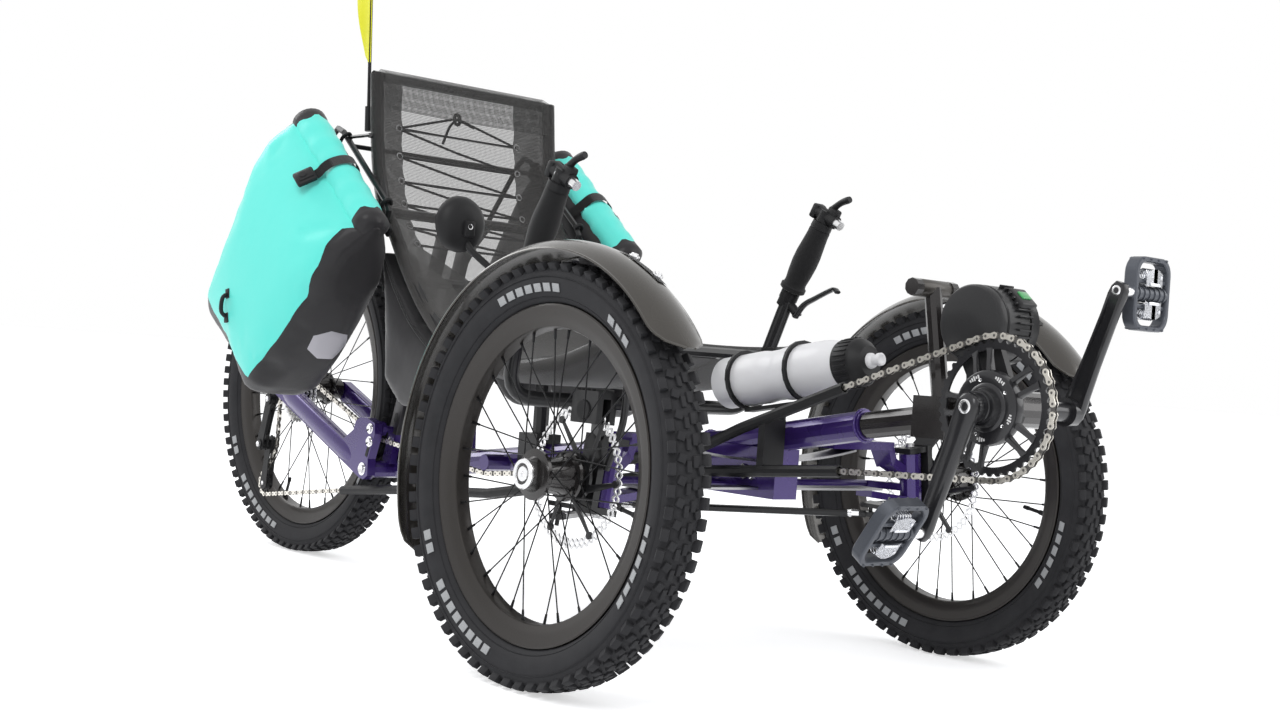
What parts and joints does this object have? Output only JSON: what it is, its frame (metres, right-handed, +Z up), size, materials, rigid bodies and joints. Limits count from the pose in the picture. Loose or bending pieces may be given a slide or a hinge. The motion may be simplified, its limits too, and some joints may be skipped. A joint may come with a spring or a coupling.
{
  "type": "recumbent tricycle",
  "caption": "Recumbent tricycle with steered front wheels on leaf springs, a mesh seat, chain drive with electric assist, mudguards and side panniers.",
  "frame": {"origin": "on the ground at the middle of the overall box, in the machine's middle plane", "axes": "+X to the rider's left, -Y forwards, +Z up"},
  "size_m": [0.8514, 2.0615, 1.4503],
  "materials": {
    "purple_paint": "metallic gloss",
    "black_paint": "semi-gloss",
    "tyre_rubber": "matt",
    "rim_grey": "satin",
    "bare_metal": "brushed",
    "chain_steel": "satin",
    "spring_metal": "satin",
    "guard_grey": "gloss",
    "grip_foam": "matt foam",
    "black_plastic": "satin",
    "bottle_white": "satin",
    "seat_mesh": "open mesh",
    "bag_mint": "coated",
    "bag_black": "coated",
    "flag_yellow": "matt"
  },
  "bodies": {
    "chassis": {"main_frame": "purple_paint", "boom": "black_paint", "swingarm": "purple_paint", "shock": "black_paint", "leaf_spring_upper": "spring_metal", "leaf_spring_lower": "spring_metal", "upright_left": "purple_paint", "upright_right": "purple_paint", "chain_tubes": "black_plastic", "chain": "chain_steel", "derailleur": "black_plastic", "motor": "black_paint", "bottle": "bottle_white", "bottle_cage": "black_plastic", "seat_frame": "black_paint", "seat_sling": "seat_mesh", "side_bag_left": "bag_black", "side_bag_right": "bag_black", "rack": "black_paint", "pannier_left": "bag_mint", "pannier_right": "bag_mint", "flag_mast": "black_plastic", "flag": "flag_yellow"},
    "handlebar": {"handlebar": "black_paint", "grip_left": "grip_foam", "grip_right": "grip_foam", "mirror": "black_plastic"},
    "steering_rod_left": {"steering_rod_left": "black_paint"},
    "steering_rod_right": {"steering_rod_right": "black_paint"},
    "knuckle_left": {"knuckle_left": "black_paint", "guard_left": "guard_grey"},
    "knuckle_right": {"knuckle_right": "black_paint", "guard_right": "guard_grey"},
    "wheel_front_left": {"wheel_front_left": "rim_grey", "tyre_front_left": "tyre_rubber", "rotor_front_left": "bare_metal"},
    "wheel_front_right": {"wheel_front_right": "rim_grey", "tyre_front_right": "tyre_rubber", "rotor_front_right": "bare_metal"},
    "wheel_rear": {"wheel_rear": "rim_grey", "tyre_rear": "tyre_rubber", "cassette": "chain_steel"},
    "crankset": {"crankset": "black_paint"},
    "pedal_left": {"pedal_left": "black_plastic"},
    "pedal_right": {"pedal_right": "black_plastic"}
  },
  "joints": [
    {"name": "steer", "type": "hinge", "parent": "chassis", "child": "handlebar", "pos_m": [0, -0.27072, 0.34464], "axis": [0, 0, 1], "range_deg": [-24, 24]},
    {"name": "rod_left_swing", "type": "hinge", "parent": "handlebar", "child": "steering_rod_left", "pos_m": [0, -0.19072, 0.18964], "axis": [0, 0, 1], "range_deg": [-24, 24]},
    {"name": "rod_right_swing", "type": "hinge", "parent": "handlebar", "child": "steering_rod_right", "pos_m": [0, -0.19072, 0.17964], "axis": [0, 0, 1], "range_deg": [-24, 24]},
    {"name": "knuckle_left_turn", "type": "hinge", "parent": "chassis", "child": "knuckle_left", "pos_m": [0.292, -0.53072, 0.26184], "axis": [-0.1392, 0, 0.9903], "range_deg": [-24, 24]},
    {"name": "wheel_left_spin", "type": "hinge", "parent": "knuckle_left", "child": "wheel_front_left", "pos_m": [0.3835, -0.53072, 0.26184], "axis": [0.9994, 0, 0.0349], "continuous": true},
    {"name": "knuckle_right_turn", "type": "hinge", "parent": "chassis", "child": "knuckle_right", "pos_m": [-0.292, -0.53072, 0.26184], "axis": [0.1392, 0, 0.9903], "range_deg": [-24, 24]},
    {"name": "wheel_right_spin", "type": "hinge", "parent": "knuckle_right", "child": "wheel_front_right", "pos_m": [-0.3835, -0.53072, 0.26184], "axis": [0.9994, 0, -0.0349], "continuous": true},
    {"name": "rear_wheel_spin", "type": "hinge", "parent": "chassis", "child": "wheel_rear", "pos_m": [0, 0.71828, 0.3125], "axis": [1, 0, 0], "continuous": true},
    {"name": "crank_spin", "type": "hinge", "parent": "chassis", "child": "crankset", "pos_m": [0, -0.94168, 0.38367], "axis": [1, 0, 0], "continuous": true},
    {"name": "pedal_left_spin", "type": "hinge", "parent": "crankset", "child": "pedal_left", "pos_m": [0.157, -0.99641, 0.53402], "axis": [1, 0, 0], "continuous": true},
    {"name": "pedal_right_spin", "type": "hinge", "parent": "crankset", "child": "pedal_right", "pos_m": [-0.157, -0.88696, 0.23332], "axis": [1, 0, 0], "continuous": true}
  ],
  "couplings": [
    {"joint": "rod_left_swing", "follows": "steer", "ratio": -1},
    {"joint": "rod_right_swing", "follows": "steer", "ratio": -1},
    {"joint": "knuckle_left_turn", "follows": "steer", "ratio": 1},
    {"joint": "knuckle_right_turn", "follows": "steer", "ratio": 1}
  ]
}
